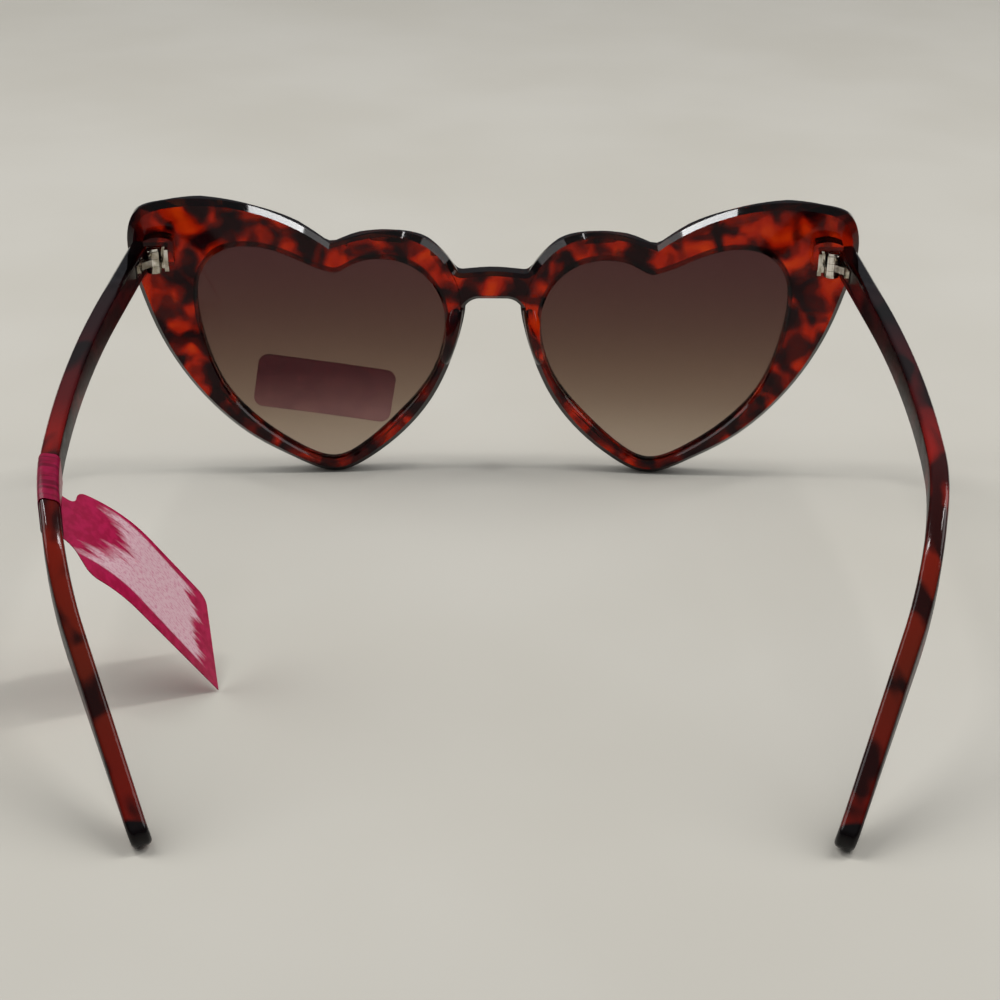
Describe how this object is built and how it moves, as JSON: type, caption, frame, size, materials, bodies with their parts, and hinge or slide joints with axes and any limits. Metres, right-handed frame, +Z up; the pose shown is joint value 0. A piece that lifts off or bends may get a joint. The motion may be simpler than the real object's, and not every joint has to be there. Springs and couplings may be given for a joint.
{
  "type": "heart-shaped sunglasses",
  "caption": "Heart-shaped cat-eye sunglasses with a diamond-cut front, tinted domed lenses and temples that fold on screwed metal hinges; a bare film tag and sticker.",
  "frame": {"origin": "on the table below the middle of the overall box, with the temples open", "axes": "+X to the wearer's left, +Y back along the temples, +Z up; the lenses face -Y"},
  "size_m": [0.152, 0.1418, 0.0605],
  "materials": {
    "front_plastic": "polished translucent tortoiseshell",
    "temple_plastic": "polished dark tortoiseshell",
    "lens_tint": "polished graduated brown tint",
    "hinge_metal": "nickel plated",
    "screw_metal": "turned",
    "tag_film": "printed film",
    "sticker_film": "printed film"
  },
  "bodies": {
    "front": {"front_frame": "front_plastic", "lens_left": "lens_tint", "lens_right": "lens_tint", "lens_sticker": "sticker_film", "front_leaf_left": "hinge_metal", "front_leaf_right": "hinge_metal", "hinge_screw_left": "screw_metal", "hinge_screw_right": "screw_metal"},
    "left_temple": {"temple_left": "temple_plastic", "temple_leaf_left": "hinge_metal", "price_tag": "tag_film"},
    "right_temple": {"temple_right": "temple_plastic", "temple_leaf_right": "hinge_metal"}
  },
  "joints": [
    {"name": "fold_left", "type": "hinge", "parent": "front", "child": "left_temple", "pos_m": [0.06784, -0.05915, 0.0489], "axis": [0, 0, 1], "range_deg": [0, 85], "deforming": ["price_tag"]},
    {"name": "fold_right", "type": "hinge", "parent": "front", "child": "right_temple", "pos_m": [-0.06784, -0.05915, 0.0489], "axis": [0, 0, -1], "range_deg": [0, 77]}
  ]
}
